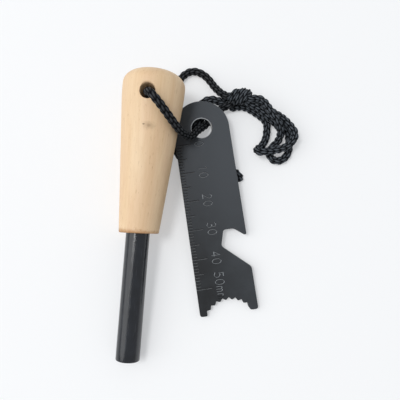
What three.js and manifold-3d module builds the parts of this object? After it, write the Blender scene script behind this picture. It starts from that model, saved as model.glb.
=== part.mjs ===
// Fire starter: a spark rod in a turned wooden handle, a flat steel striker and the cord that ties them.
// It lies as it is put down on a table: the rod's free end and the striker's prongs touch the table, and
// the handle's head and the striker's head lie on the cord. Millimetres, +Z up, +Y along the rod.
import * as THREE from 'three';
import { mergeVertices } from 'three/addons/utils/BufferGeometryUtils.js';
import Module from 'manifold-3d';

const wasm = await Module();
wasm.setup();

// Driving dimensions, in millimetres and degrees
const seatGap = 0.3;
const rodDiameter = 7.8;
const rodExposed = 41.2;
const rodInserted = 28;
const handleLength = 54.45;
const headDiameter = 21;
const mouthWall = 2.4;
const lanyardHoleDiameter = 5;
const lanyardFromEnd = 9.4;
const handleSetDegrees = 1.3;
const handleAside = 0.3;
const lanyardRollDegrees = 3.4;
const strikerWidth = 19.65;
const strikerReach = 64.3;
const strikerThickness = 2;
const strikerHoleDiameter = 7;
const strikerTurnDegrees = 12.6;
const cordDiameter = 2.6;

// How the pieces lie
const headClearance = 0.35;
const strikerClearance = 0.5;
const strikerHoleAside = 18.15;
const strikerHoleAlong = 79.9;

const overrun = 1;
const weldTolerance = 0.0001;
const radians = THREE.MathUtils.degToRad;

// Finishes
const wood = new THREE.MeshStandardMaterial({ color: 0xe2c49a, roughness: 0.6, metalness: 0 });
const coatedRod = new THREE.MeshStandardMaterial({ color: 0x2c2f35, roughness: 0.5, metalness: 0.2 });
const glue = new THREE.MeshStandardMaterial({ color: 0xc8b98c, roughness: 0.3, metalness: 0 });
const oxidisedSteel = new THREE.MeshStandardMaterial({ color: 0x45484c, roughness: 0.5, metalness: 0.7 });
const blackCord = new THREE.MeshStandardMaterial({ color: 0x17191b, roughness: 0.9, metalness: 0 });

// A geometry as a solid that can be cut and joined
function solidOf(geometry) {
  geometry.deleteAttribute('normal');
  geometry.deleteAttribute('uv');
  const welded = mergeVertices(geometry, weldTolerance);
  const corners = [];
  for (let i = 0; i < welded.index.count; i += 3) {
    const [a, b, c] = [welded.index.getX(i), welded.index.getX(i + 1), welded.index.getX(i + 2)];
    if (a !== b && b !== c && c !== a) corners.push(a, b, c);
  }
  return new wasm.Manifold(new wasm.Mesh({
    numProp: 3,
    vertProperties: new Float32Array(welded.attributes.position.array),
    triVerts: new Uint32Array(corners),
  }));
}

function geometryOf(solid) {
  const mesh = solid.getMesh();
  const geometry = new THREE.BufferGeometry();
  geometry.setAttribute('position', new THREE.BufferAttribute(new Float32Array(mesh.vertProperties), 3));
  geometry.setIndex(new THREE.BufferAttribute(new Uint32Array(mesh.triVerts), 1));
  geometry.computeVertexNormals();
  return geometry;
}

function namedMesh(name, geometry, material) {
  const mesh = new THREE.Mesh(geometry, material);
  mesh.name = name;
  return mesh;
}

const at = (radius, height) => new THREE.Vector2(radius, height);

// Spark rod: a round bar with broken edges, its free end at the origin of the grip group
const rodRadius = rodDiameter / 2;
const rodLength = rodExposed + rodInserted;
const rodEdge = 0.4;
const rodSides = 32;

function makeRod() {
  const profile = [
    at(0, 0),
    at(rodRadius - rodEdge, 0),
    at(rodRadius, rodEdge),
    at(rodRadius, rodLength - rodEdge),
    at(rodRadius - rodEdge, rodLength),
    at(0, rodLength),
  ];
  return new THREE.LatheGeometry(profile, rodSides);
}

// Blind bore in the handle, with the cone that a drill leaves, and the plug of glue in that end
const boreRadius = rodRadius + seatGap;
const glueThickness = 1;
const drillConeShare = 0.6;
const boreDepth = rodInserted + seatGap + glueThickness + seatGap;
const boreSides = 32;

function boreCutter() {
  const profile = [
    at(0, -overrun),
    at(boreRadius, -overrun),
    at(boreRadius, boreDepth),
    at(0, boreDepth + boreRadius * drillConeShare),
  ];
  return solidOf(new THREE.LatheGeometry(profile, boreSides));
}

function makeGluePlug() {
  const start = rodLength + seatGap;
  const profile = [
    at(0, start),
    at(rodRadius, start),
    at(rodRadius, start + glueThickness),
    at(0, start + glueThickness + rodRadius * drillConeShare),
  ];
  return new THREE.LatheGeometry(profile, boreSides);
}

// Handle: a cone that swells into a domed head, its mouth at the origin of its own group
const mouthRadius = boreRadius + mouthWall;
const mouthEdge = 0.5;
const headRadius = headDiameter / 2;
const domeHeight = 5;
const domeRoundShare = 0.66;
const swellLength = 5.9;
const swellDepth = 0.25;
const widestAt = handleLength - domeHeight;
const handleSides = 48;
const edgeSteps = 3;
const domeSteps = 9;

function handleProfile() {
  const profile = [at(0, 0)];
  for (let i = 0; i <= edgeSteps; i += 1) {
    const turn = (Math.PI / 2) * (i / edgeSteps);
    profile.push(at(mouthRadius - mouthEdge * (1 - Math.sin(turn)), mouthEdge * (1 - Math.cos(turn))));
  }
  profile.push(at(headRadius - swellDepth, widestAt - swellLength));
  for (let i = 0; i < domeSteps; i += 1) {
    const turn = (Math.PI / 2) * (i / domeSteps);
    profile.push(at(headRadius * Math.cos(turn) ** domeRoundShare, widestAt + domeHeight * Math.sin(turn)));
  }
  profile.push(at(0, handleLength));
  return profile;
}

// Lanyard hole across the head, its rims eased on both sides
const lanyardRadius = lanyardHoleDiameter / 2;
const lanyardAt = handleLength - lanyardFromEnd;
const rimEase = 0.8;
const rimSteps = 3;
const lanyardSides = 24;

function lanyardCutter() {
  const profile = [at(0, -headRadius - overrun), at(lanyardRadius + rimEase, -headRadius - overrun)];
  for (const side of [-1, 1]) {
    for (let i = 0; i <= rimSteps; i += 1) {
      const turn = (Math.PI / 2) * (side < 0 ? i / rimSteps : 1 - i / rimSteps);
      const radius = lanyardRadius + rimEase * (1 - Math.sin(turn));
      profile.push(at(radius, side * (headRadius - rimEase * (1 - Math.cos(turn)))));
    }
  }
  profile.push(at(lanyardRadius + rimEase, headRadius + overrun), at(0, headRadius + overrun));
  const cutter = new THREE.LatheGeometry(profile, lanyardSides);
  cutter.rotateX(Math.PI / 2);
  cutter.rotateY(radians(-lanyardRollDegrees));
  cutter.translate(0, lanyardAt, 0);
  return solidOf(cutter);
}

// The mouth is cut a little askew
const mouthSkewShare = 0.055;
const skewLength = 12;

function skewMouth(geometry) {
  const places = geometry.attributes.position;
  for (let i = 0; i < places.count; i += 1) {
    const fade = Math.max(0, 1 - places.getY(i) / skewLength);
    places.setY(i, places.getY(i) + mouthSkewShare * places.getX(i) * fade);
  }
  return geometry;
}

function makeHandle() {
  const body = solidOf(skewMouth(new THREE.LatheGeometry(handleProfile(), handleSides)));
  const bore = boreCutter().rotate([0, 0, handleSetDegrees]).translate([-handleAside, 0, 0]);
  return geometryOf(body.subtract(bore).subtract(lanyardCutter()));
}

// Striker: a flat plate, its lanyard hole at the origin of its group and its prongs towards -Y
const strikerHalf = strikerWidth / 2;
const strikerHoleRadius = strikerHoleDiameter / 2;
const strikerBevel = 0.2;
const holeChamfer = 0.5;
const prongWidth = 2.5;
const prongDepth = 1.05;
const prongOuterRound = 0.9;
const prongInnerRound = 0.4;
const serrationRise = 4.75;
const toothCount = 8;
const toothDepth = 0.85;
const headSteps = 24;
const cornerSteps = 3;

// Bottle opener notch in the right edge, from the hooked tip round to the slanted floor
const hookTipAt = 39.1;
const hookTipRound = 0.6;
const hookDepth = 4;
const ceilingAt = 36.45;
const notchBackDepth = 7.6;
const notchCornerDepth = 9.1;
const notchCornerAt = 41.9;
const notchFloorAt = 50.1;
const notchRound = 0.9;

// Corners of the striker's outline below its round head, each with the length that its rounding takes
function strikerCorners() {
  const foot = -strikerReach;
  return [
    [-strikerHalf, foot, prongOuterRound],
    [prongWidth - strikerHalf, foot, prongInnerRound],
    ...serration(),
    [strikerHalf - prongWidth, foot, prongInnerRound],
    [strikerHalf, foot, prongOuterRound],
    [strikerHalf, -notchFloorAt, notchRound],
    [strikerHalf - notchCornerDepth, -notchCornerAt, notchRound],
    [strikerHalf - notchBackDepth, -ceilingAt, notchRound],
    [strikerHalf - hookDepth, -ceilingAt, notchRound],
    [strikerHalf - hookTipRound, -hookTipAt, hookTipRound],
    [strikerHalf, -hookTipAt, hookTipRound],
  ];
}

// Teeth along a circular arc between the prongs
function serration() {
  const halfChord = strikerHalf - prongWidth;
  const chordAt = prongDepth - strikerReach;
  const rise = serrationRise - prongDepth;
  const radius = (halfChord ** 2 + rise ** 2) / (2 * rise);
  const centre = chordAt + rise - radius;
  const halfAngle = Math.asin(halfChord / radius);
  const turnStep = (2 * halfAngle) / toothCount;
  const teeth = [];
  for (let i = 0; i < toothCount; i += 1) {
    const valley = halfAngle - turnStep * (i + 1 / 4);
    const tip = halfAngle - turnStep * (i + 3 / 4);
    const valleyRadius = radius + toothDepth / 2;
    const tipRadius = radius - toothDepth / 2;
    teeth.push([-Math.sin(valley) * valleyRadius, centre + Math.cos(valley) * valleyRadius, 0]);
    teeth.push([-Math.sin(tip) * tipRadius, centre + Math.cos(tip) * tipRadius, 0]);
  }
  return teeth;
}

function strikerOutline() {
  const outline = [];
  for (let i = 0; i <= headSteps; i += 1) {
    const turn = Math.PI * (i / headSteps);
    outline.push(at(strikerHalf * Math.cos(turn), strikerHalf * Math.sin(turn)));
  }
  const corners = strikerCorners().map(([x, y, round]) => ({ point: at(x, y), round }));
  corners.forEach(({ point, round }, i) => {
    const before = i > 0 ? corners[i - 1].point : outline[headSteps];
    const after = i + 1 < corners.length ? corners[i + 1].point : outline[0];
    if (round === 0) {
      outline.push(point);
      return;
    }
    const reach = (end) => end.clone().sub(point).setLength(Math.min(round, end.distanceTo(point) / 2)).add(point);
    const curve = new THREE.QuadraticBezierCurve(reach(before), point, reach(after));
    outline.push(...curve.getPoints(cornerSteps));
  });
  return new THREE.Shape(outline);
}

function strikerBlank() {
  const blank = new THREE.ExtrudeGeometry(strikerOutline(), {
    depth: strikerThickness - 2 * strikerBevel,
    bevelEnabled: true,
    bevelThickness: strikerBevel,
    bevelSize: strikerBevel,
    bevelOffset: -strikerBevel,
    bevelSegments: 1,
  });
  blank.translate(0, 0, strikerBevel);
  return solidOf(blank);
}

// Round hole with a chamfer on both faces
function strikerHoleCutter() {
  const wide = strikerHoleRadius + holeChamfer + overrun;
  const profile = [
    at(0, -overrun),
    at(wide, -overrun),
    at(strikerHoleRadius, holeChamfer),
    at(strikerHoleRadius, strikerThickness - holeChamfer),
    at(wide, strikerThickness + overrun),
    at(0, strikerThickness + overrun),
  ];
  const cutter = new THREE.LatheGeometry(profile, handleSides);
  cutter.rotateX(Math.PI / 2);
  return solidOf(cutter);
}

// Ruler: a groove each millimetre at the left edge, longer at each fifth and tenth
const rulerLength = 50;
const rulerPitch = 1;
const rulerStart = 5.3;
const tickWidth = 0.22;
const tickDepth = 0.12;
const tickLengths = { one: 1.7, five: 3.2, ten: 5.2 };

function rulerCutter() {
  const ticks = [];
  for (let i = 0; i * rulerPitch <= rulerLength; i += 1) {
    let length = tickLengths.one;
    if (i % 5 === 0) length = tickLengths.five;
    if (i % 10 === 0) length = tickLengths.ten;
    const tick = new THREE.BoxGeometry(length + overrun, tickWidth, tickDepth + overrun);
    tick.translate(
      -strikerHalf + (length - overrun) / 2,
      -rulerStart - i * rulerPitch,
      strikerThickness + (overrun - tickDepth) / 2,
    );
    ticks.push(solidOf(tick));
  }
  return wasm.Manifold.union(ticks);
}

function makeStriker() {
  return geometryOf(strikerBlank().subtract(strikerHoleCutter()).subtract(rulerCutter()));
}

// Lanyard: one cord in stretches. Its routes are chosen by hand, from the rod's free end.
const cordRadius = cordDiameter / 2;
const cordSides = 8;
const arcRoute = [
  [26.2, 92.7, 4.4], [25.4, 93.2, 4.1], [24.4, 93.9, 3.6], [23.1, 95.3, 2.7], [21.7, 97.0, 1.8],
  [20.3, 98.9, 1.35], [18.7, 100.6, 1.35], [16.8, 101.9, 1.35], [14.7, 102.6, 1.35], [12.5, 102.4, 1.35],
  [10.6, 101.2, 1.35], [9.0, 99.2, 1.35], [7.9, 96.8, 1.35], [6.9, 94.3, 1.35], [6.0, 91.8, 1.35],
  [4.9, 89.5, 1.4], [3.4, 88.1, 1.9], [2.2, 87.4, 3.3], [1.8, 87.0, 5.4],
];
const frontRoute = [
  [1.8, 87.0, 6.0], [1.8, 86.7, 7.6], [1.5, 86.2, 11.0], [1.2, 85.7, 15.0], [0.9, 85.1, 19.0],
  [0.7, 84.7, 21.6], [0.9, 84.2, 23.6], [1.8, 83.4, 25.2], [3.3, 81.8, 25.9], [5.1, 80.0, 25.2],
  [6.8, 78.3, 23.8], [8.4, 76.8, 22.0], [9.9, 75.5, 19.8], [11.1, 74.7, 17.5], [12.0, 74.4, 15.0],
  [12.8, 74.6, 12.6], [13.8, 74.8, 10.4], [14.9, 75.4, 8.5], [15.9, 76.9, 6.8], [16.9, 78.6, 5.3],
  [18.0, 80.1, 3.8], [19.1, 81.6, 2.3], [20.3, 83.3, 1.4], [22.0, 85.4, 1.35], [23.5, 87.4, 1.4],
  [24.8, 88.6, 2.1], [26.2, 89.1, 3.2],
];
const tailRoute = [
  [26.5, 92.0, 1.1], [25.6, 92.0, 1.0], [23.5, 92.3, 0.98], [21.4, 92.7, 0.98], [19.5, 91.9, 0.98],
  [17.9, 90.6, 0.98], [17.1, 88.8, 0.98], [17.3, 86.8, 0.98], [17.0, 84.4, 0.98], [15.6, 82.1, 0.98],
  [12.1, 77.6, 0.98], [10.6, 75.2, 0.98], [9.8, 73.1, 0.98], [10.6, 71.0, 0.98], [12.8, 68.9, 0.98],
  [16.1, 67.4, 0.98], [20.3, 66.8, 0.98], [24.2, 66.6, 0.98], [27.6, 66.6, 0.98], [30.1, 66.0, 0.98],
  [31.8, 64.9, 0.98], [32.8, 63.3, 0.98],
];
const outerLoopRoute = [
  [29.6, 89.8, 1.35], [30.6, 90.1, 1.35], [32.1, 90.2, 1.35], [33.7, 90.0, 1.35], [35.6, 89.2, 1.35],
  [37.7, 88.0, 1.35], [39.5, 86.8, 1.35], [40.8, 85.6, 1.35], [41.6, 84.0, 1.35], [41.7, 81.9, 1.35],
  [41.6, 79.8, 1.35], [41.1, 77.8, 1.35], [40.0, 75.8, 1.35], [39.1, 75.0, 1.7], [38.5, 74.2, 2.5],
  [38.4, 73.6, 3.4], [38.9, 73.1, 4.1], [39.8, 72.9, 4.4], [41.7, 73.2, 4.4], [43.6, 73.6, 4.4],
  [45.9, 74.3, 4.4], [48.2, 75.3, 4.4], [50.1, 77.1, 4.4], [51.2, 79.3, 4.2], [50.9, 81.4, 4.1],
  [49.5, 83.3, 4.1], [47.8, 85.2, 3.7], [46.0, 87.2, 2.4], [43.7, 88.9, 1.35], [41.6, 90.4, 1.35],
  [39.6, 92.0, 1.35], [37.7, 93.0, 1.35], [36.0, 93.2, 1.35],
];
const innerLoopRoute = [
  [35.5, 91.5, 6.3], [36.8, 91.7, 6.3], [38.4, 91.4, 6.3], [39.9, 90.1, 6.6], [41.3, 88.2, 6.8],
  [42.8, 86.2, 6.8], [44.3, 84.3, 6.3], [45.6, 82.6, 5.1], [46.2, 80.9, 4.0], [46.3, 79.4, 2.6],
  [45.5, 77.6, 1.5], [43.9, 75.8, 1.35], [43.1, 74.0, 1.35], [43.4, 72.3, 1.35], [44.7, 71.1, 1.35],
  [46.5, 71.0, 1.35], [48.2, 71.9, 1.35], [49.4, 73.6, 1.35], [49.9, 75.7, 1.35], [49.8, 77.9, 1.35],
  [49.7, 79.7, 1.35], [49.3, 81.5, 1.35], [48.1, 83.1, 1.35], [46.3, 83.5, 1.35], [44.5, 84.3, 2.7],
  [42.5, 85.5, 4.0], [40.5, 87.0, 4.2], [38.7, 88.4, 4.2], [37.0, 89.5, 4.1], [35.9, 89.9, 4.1],
];

// A round cord, or a pressed one that is lower than it is wide. A pressed route starts along X and a
// little down, which lays the section's own X across the table.
function cordTube(route, steps, halfWidth = cordRadius, halfHeight = cordRadius) {
  const section = new THREE.Shape();
  section.absellipse(0, 0, halfWidth, halfHeight, 0, 2 * Math.PI, false, 0);
  const path = new THREE.CatmullRomCurve3(
    route.map(([x, y, z]) => new THREE.Vector3(x, y, z)),
    false,
    'centripetal',
  );
  return new THREE.ExtrudeGeometry(section, { extrudePath: path, steps, curveSegments: cordSides });
}

// Knot: three slanted wraps round the strands
const wrapCount = 3;
const wrapSlantDegrees = 12;
const wrapRadius = 1.4;
const wrapPitch = 2.5;
const wrapSides = 8;
const wrapSteps = 16;
const knotCentre = new THREE.Vector3(31.1, 92.6, 5.0);

function makeKnot() {
  const coreHalf = wrapPitch * wrapCount / 2 - cordRadius / 2;
  const core = new THREE.LatheGeometry(
    [at(0, -coreHalf), at(wrapRadius, -coreHalf), at(wrapRadius, coreHalf), at(0, coreHalf)],
    wrapSteps,
  );
  core.rotateZ(-Math.PI / 2);
  const pieces = [solidOf(core)];
  for (let i = 0; i < wrapCount; i += 1) {
    const wrap = new THREE.TorusGeometry(wrapRadius, cordRadius, wrapSides, wrapSteps);
    wrap.rotateY(Math.PI / 2);
    wrap.rotateZ(radians(-wrapSlantDegrees));
    wrap.translate((i - (wrapCount - 1) / 2) * wrapPitch, 0, 0);
    pieces.push(solidOf(wrap));
  }
  return geometryOf(wasm.Manifold.union(pieces));
}

// Grip group: rod and handle, tilted so that the head clears the cord under its lanyard hole
const lanyardReach = rodExposed + lanyardAt;
const headOverhang = headRadius - rodRadius;
const headLift = cordDiameter + headClearance;
const gripTilt = Math.atan2(headOverhang, lanyardReach)
  + Math.asin(headLift / Math.hypot(lanyardReach, headOverhang));

function makeGrip() {
  const grip = new THREE.Group();
  grip.add(namedMesh('ferro_rod', makeRod(), coatedRod));
  grip.add(namedMesh('rod_adhesive', makeGluePlug(), glue));
  const handle = namedMesh('handle', makeHandle(), wood);
  handle.position.set(handleAside, rodExposed, 0);
  handle.rotation.z = radians(-handleSetDegrees);
  grip.add(handle);
  grip.rotation.x = gripTilt;
  grip.position.z = rodRadius * Math.cos(gripTilt);
  return grip;
}

// Striker group: turned beside the handle, its head raised over the cord and its prongs down
function makeStrikerGroup() {
  const lift = cordDiameter + strikerClearance;
  const tilted = new THREE.Group();
  tilted.add(namedMesh('striker', makeStriker(), oxidisedSteel));
  tilted.rotation.x = Math.asin(lift / strikerReach);
  const turned = new THREE.Group();
  turned.add(tilted);
  turned.rotation.z = radians(strikerTurnDegrees);
  turned.position.set(strikerHoleAside, strikerHoleAlong, lift);
  return turned;
}

const pressedHalfWidth = 1.5;
const pressedHalfHeight = 0.93;

function makeLanyard() {
  const lanyard = new THREE.Group();
  lanyard.add(namedMesh('cord_arc', cordTube(arcRoute, 10), blackCord));
  lanyard.add(namedMesh('cord_front', cordTube(frontRoute, 20), blackCord));
  lanyard.add(namedMesh('cord_tail', cordTube(tailRoute, 12, pressedHalfWidth, pressedHalfHeight), blackCord));
  lanyard.add(namedMesh('cord_loop_outer', cordTube(outerLoopRoute, 20), blackCord));
  lanyard.add(namedMesh('cord_loop_inner', cordTube(innerLoopRoute, 18), blackCord));
  const knot = namedMesh('cord_knot', makeKnot(), blackCord);
  knot.position.copy(knotCentre);
  lanyard.add(knot);
  return lanyard;
}

// The origin is under the middle of the rigid pieces' box, at table height
const group = new THREE.Group();
group.name = 'fire_starter';
group.add(makeGrip());
group.add(makeStrikerGroup());
group.updateMatrixWorld(true);
const box = new THREE.Box3().setFromObject(group, true);
const middle = box.getCenter(new THREE.Vector3());
group.add(makeLanyard());
group.position.set(-middle.x, -middle.y, -box.min.z);
group.updateMatrixWorld(true);

export default group;
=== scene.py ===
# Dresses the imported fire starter: wooden handle, coated spark rod, engraved steel striker and braided cord.
import math

import bmesh
import bpy
from mathutils import Matrix, Vector


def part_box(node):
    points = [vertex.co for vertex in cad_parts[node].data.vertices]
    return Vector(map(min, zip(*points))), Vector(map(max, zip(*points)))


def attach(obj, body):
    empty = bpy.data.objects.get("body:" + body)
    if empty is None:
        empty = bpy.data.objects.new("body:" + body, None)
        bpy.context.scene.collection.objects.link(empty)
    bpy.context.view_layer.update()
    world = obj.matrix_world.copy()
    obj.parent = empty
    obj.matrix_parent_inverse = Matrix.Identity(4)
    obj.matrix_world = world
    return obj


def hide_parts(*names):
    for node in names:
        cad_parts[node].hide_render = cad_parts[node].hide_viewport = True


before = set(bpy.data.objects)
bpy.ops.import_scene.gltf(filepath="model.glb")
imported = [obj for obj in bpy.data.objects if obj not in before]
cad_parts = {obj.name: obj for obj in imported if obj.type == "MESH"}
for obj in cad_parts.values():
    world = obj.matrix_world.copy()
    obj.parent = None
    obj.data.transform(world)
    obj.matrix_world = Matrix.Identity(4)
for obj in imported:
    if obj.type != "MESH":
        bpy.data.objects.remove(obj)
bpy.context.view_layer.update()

MM = 0.001

# Sizes in millimetres, the same as in the part's source
ROD_RADIUS = 3.9
ROD_EXPOSED = 41.2
ROD_INSERTED = 28.0
ROD_EDGE = 0.4
HANDLE_LENGTH = 54.45
HEAD_RADIUS = 10.5
BORE_RADIUS = 4.2
MOUTH_RADIUS = 6.6
MOUTH_EDGE = 0.5
DOME_HEIGHT = 5.0
DOME_ROUND = 0.66
LANYARD_RADIUS = 2.5
LANYARD_AT = 45.05
RIM_EASE = 0.8
HANDLE_SET = math.radians(1.3)
HANDLE_ASIDE = 0.3
MOUTH_SKEW = 0.055
SKEW_LENGTH = 12.0
LANYARD_ROLL = math.radians(3.4)
STRIKER_HALF = 9.825
STRIKER_REACH = 64.3
STRIKER_THICKNESS = 2.0
STRIKER_HOLE_RADIUS = 3.5
STRIKER_LIFT = 3.1
STRIKER_TURN = math.radians(12.6)
STRIKER_HOLE_ASIDE = 18.15
STRIKER_HOLE_ALONG = 79.9
CORD_DIAMETER = 2.6

HEAD_OVERHANG = HEAD_RADIUS - ROD_RADIUS
LANYARD_REACH = ROD_EXPOSED + LANYARD_AT
GRIP_TILT = math.atan2(HEAD_OVERHANG, LANYARD_REACH) + math.asin(
    (CORD_DIAMETER + 0.35) / math.hypot(LANYARD_REACH, HEAD_OVERHANG)
)

# The routes and places below start from the rod's free end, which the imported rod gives
rod_low, rod_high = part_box("ferro_rod")
TIP = Vector((
    (rod_low[0] + rod_high[0]) / 2,
    rod_low[1] + (ROD_RADIUS - ROD_EDGE) * math.sin(GRIP_TILT) * MM,
    rod_low[2] - ROD_EDGE * math.sin(GRIP_TILT) * MM,
))


def placed(x, y, z):
    return Matrix.Translation(Vector((x, y, z)) * MM)


GRIP_PLACE = (
    Matrix.Translation(TIP)
    @ placed(0, 0, ROD_RADIUS * math.cos(GRIP_TILT))
    @ Matrix.Rotation(GRIP_TILT, 4, "X")
)
HANDLE_PLACE = GRIP_PLACE @ placed(HANDLE_ASIDE, ROD_EXPOSED, 0) @ Matrix.Rotation(-HANDLE_SET, 4, "Z")
STRIKER_PLACE = (
    Matrix.Translation(TIP)
    @ placed(STRIKER_HOLE_ASIDE, STRIKER_HOLE_ALONG, STRIKER_LIFT)
    @ Matrix.Rotation(STRIKER_TURN, 4, "Z")
    @ Matrix.Rotation(math.asin(STRIKER_LIFT / STRIKER_REACH), 4, "X")
)


# Camera: a little in front of straight above, as the photograph was taken, placed from the rod's free end
CAMERA_SENSOR = 36
CAMERA_LENS = 40.5
CAMERA_AT = Vector((21.59, 27.01, 156.61))
CAMERA_FORWARD = Vector((-0.01298, 0.17592, -0.98432))
CAMERA_UP = Vector((-0.07242, 0.98165, 0.17640))


def set_camera():
    data = bpy.data.cameras.new("photo_camera")
    data.sensor_width = CAMERA_SENSOR
    data.lens = CAMERA_LENS
    data.clip_start = 0.005
    data.clip_end = 10
    camera = bpy.data.objects.new("photo_camera", data)
    bpy.context.scene.collection.objects.link(camera)
    back = -CAMERA_FORWARD.normalized()
    right = CAMERA_UP.normalized().cross(back).normalized()
    up = back.cross(right)
    turn = Matrix((right, up, back)).transposed().to_4x4()
    camera.matrix_world = Matrix.Translation(TIP + CAMERA_AT * MM) @ turn
    bpy.context.scene.camera = camera


# Mesh helpers. Pieces are shaped in millimetres in their own frame, and set down in metres at the end.
def finished(bm, name, turn=None):
    if turn is not None:
        bmesh.ops.transform(bm, matrix=turn, verts=bm.verts)
    mesh = bpy.data.meshes.new(name)
    bm.to_mesh(mesh)
    bm.free()
    obj = bpy.data.objects.new(name, mesh)
    bpy.context.scene.collection.objects.link(obj)
    return obj


def set_down(obj, place, smooth_under):
    obj.data.transform(place @ Matrix.Scale(MM, 4))
    if smooth_under is None:
        obj.data.shade_flat()
        return
    obj.data.shade_smooth()
    obj.data.set_sharp_from_angle(angle=math.radians(smooth_under))


def turned(profile, steps):
    """A profile of (radius, height) points from axis to axis, spun round the Y axis."""
    bm = bmesh.new()
    verts = [bm.verts.new((radius, height, 0)) for radius, height in profile]
    for one, two in zip(verts, verts[1:]):
        bm.edges.new((one, two))
    bmesh.ops.spin(
        bm, geom=bm.verts[:] + bm.edges[:], cent=(0, 0, 0), axis=(0, 1, 0), angle=2 * math.pi,
        steps=steps, use_merge=True, use_duplicate=False,
    )
    bmesh.ops.remove_doubles(bm, verts=bm.verts, dist=0.0005)
    bmesh.ops.recalc_face_normals(bm, faces=bm.faces)
    return bm


def cut_away(obj, cutters):
    for cutter in cutters:
        change = obj.modifiers.new("cut", "BOOLEAN")
        change.operation = "DIFFERENCE"
        change.solver = "EXACT"
        change.object = cutter
    depsgraph = bpy.context.evaluated_depsgraph_get()
    cut = bpy.data.meshes.new_from_object(obj.evaluated_get(depsgraph), depsgraph=depsgraph)
    obj.modifiers.clear()
    old = obj.data
    obj.data = cut
    bpy.data.meshes.remove(old)
    for cutter in cutters:
        bpy.data.objects.remove(cutter, do_unlink=True)


def mend(obj, reach=0.003):
    """Close the hairline slivers that a cut can leave."""
    bm = bmesh.new()
    bm.from_mesh(obj.data)
    bmesh.ops.remove_doubles(bm, verts=bm.verts, dist=reach)
    bmesh.ops.holes_fill(bm, edges=[edge for edge in bm.edges if edge.is_boundary])
    bmesh.ops.dissolve_degenerate(bm, edges=bm.edges, dist=reach)
    bm.to_mesh(obj.data)
    bm.free()


def dressed(obj, body, slot, *materials):
    obj.data.materials.clear()
    for material in materials:
        obj.data.materials.append(material)
    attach(obj, body)
    return obj


# Material helpers
def group_socket(group, name, kind, way, value=None):
    socket = group.interface.new_socket(name=name, in_out=way, socket_type=kind)
    if value is not None:
        socket.default_value = value


class Nodes:
    """A node tree with short calls for the nodes that the finishes are made of."""

    def __init__(self, tree):
        self.tree = tree
        self.links = tree.links

    def add(self, kind, **values):
        node = self.tree.nodes.new(kind)
        for key, value in values.items():
            setattr(node, key, value)
        return node

    def feed(self, socket, value):
        if isinstance(value, bpy.types.NodeSocket):
            self.links.new(value, socket)
        elif value is not None:
            socket.default_value = value

    def maths(self, operation, one, two=None, three=None):
        node = self.add("ShaderNodeMath", operation=operation)
        self.feed(node.inputs[0], one)
        self.feed(node.inputs[1], two)
        self.feed(node.inputs[2], three)
        return node.outputs[0]

    def vector(self, operation, one, two):
        node = self.add("ShaderNodeVectorMath", operation=operation)
        self.feed(node.inputs[0], one)
        self.feed(node.inputs[1], two)
        return node.outputs[0]

    def length(self, vector):
        node = self.add("ShaderNodeVectorMath", operation="LENGTH")
        self.feed(node.inputs[0], vector)
        return node.outputs["Value"]

    def ramp(self, value, low, high, to_low=0.0, to_high=1.0):
        node = self.add("ShaderNodeMapRange", interpolation_type="SMOOTHSTEP")
        self.feed(node.inputs["Value"], value)
        self.feed(node.inputs["From Min"], low)
        self.feed(node.inputs["From Max"], high)
        self.feed(node.inputs["To Min"], to_low)
        self.feed(node.inputs["To Max"], to_high)
        return node.outputs["Result"]

    def noise(self, vector, scale, detail=3.0, roughness=0.6):
        node = self.add("ShaderNodeTexNoise")
        self.feed(node.inputs["Vector"], vector)
        self.feed(node.inputs["Scale"], scale)
        self.feed(node.inputs["Detail"], detail)
        self.feed(node.inputs["Roughness"], roughness)
        return node.outputs["Fac"]

    def mix(self, factor, one, two):
        node = self.add("ShaderNodeMix", data_type="RGBA")
        self.feed(node.inputs["Factor"], factor)
        self.feed(node.inputs[6], one)
        self.feed(node.inputs[7], two)
        return node.outputs[2]

    def bump(self, height, strength, distance):
        node = self.add("ShaderNodeBump")
        self.feed(node.inputs["Height"], height)
        self.feed(node.inputs["Strength"], strength)
        self.feed(node.inputs["Distance"], distance)
        return node.outputs["Normal"]

    def local(self, place):
        """Object coordinates in millimetres, measured in the piece's own turned frame."""
        inverse = place.inverted()
        coords = self.add("ShaderNodeTexCoord").outputs["Object"]
        mapping = self.add("ShaderNodeMapping")
        self.links.new(coords, mapping.inputs["Vector"])
        mapping.inputs["Location"].default_value = inverse.to_translation() / MM
        mapping.inputs["Rotation"].default_value = inverse.to_euler("XYZ")
        mapping.inputs["Scale"].default_value = (1 / MM, 1 / MM, 1 / MM)
        return mapping.outputs["Vector"]

    def group(self, group, **values):
        node = self.add("ShaderNodeGroup")
        node.node_tree = group
        for key, value in values.items():
            self.feed(node.inputs[key.replace("_", " ")], value)
        return node.outputs


def material(name):
    made = bpy.data.materials.new(name)
    made.use_nodes = True
    tree = made.node_tree
    tree.nodes.clear()
    nodes = Nodes(tree)
    shader = nodes.add("ShaderNodeBsdfPrincipled")
    out = nodes.add("ShaderNodeOutputMaterial")
    tree.links.new(shader.outputs["BSDF"], out.inputs["Surface"])
    return made, nodes, shader


def linear(red, green, blue):
    """A colour written as it looks on screen, 0 to 255."""
    values = []
    for value in (red, green, blue):
        value = value / 255
        values.append(value / 12.92 if value <= 0.04045 else ((value + 0.055) / 1.055) ** 2.4)
    return (*values, 1.0)


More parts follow.
